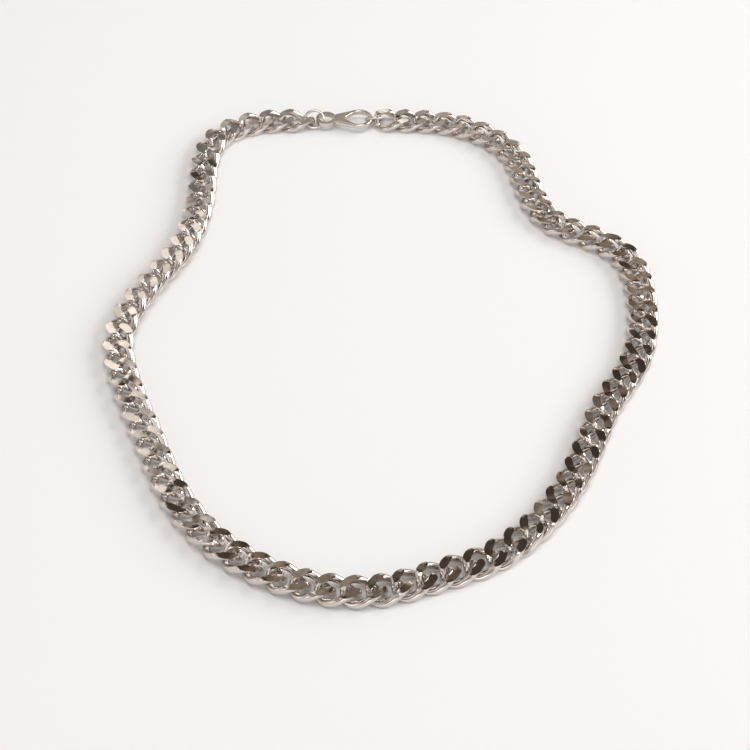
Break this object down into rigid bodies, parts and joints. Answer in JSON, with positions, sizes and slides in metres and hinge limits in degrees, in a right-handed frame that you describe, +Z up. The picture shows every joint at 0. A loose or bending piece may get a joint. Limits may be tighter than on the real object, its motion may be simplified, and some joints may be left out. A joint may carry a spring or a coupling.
{
  "type": "curb chain necklace",
  "caption": "Flat curb chain necklace in polished steel, fastened with a plain hook clasp and lying flat in a loop.",
  "frame": {"origin": "centre of the bounding box at the plane that the chain lies on", "axes": "+Z up from that plane, +Y from the front of the loop to the clasp at its back, +X to the right"},
  "size_m": [0.1306, 0.1662, 0.0045],
  "materials": {
    "steel": "polished stainless steel, bright flats with fine handling marks"
  },
  "bodies": {
    "root": {"curb_chain": "steel", "clasp": "steel", "clasp_ring": "steel", "end_ring": "steel"}
  },
  "joints": []
}
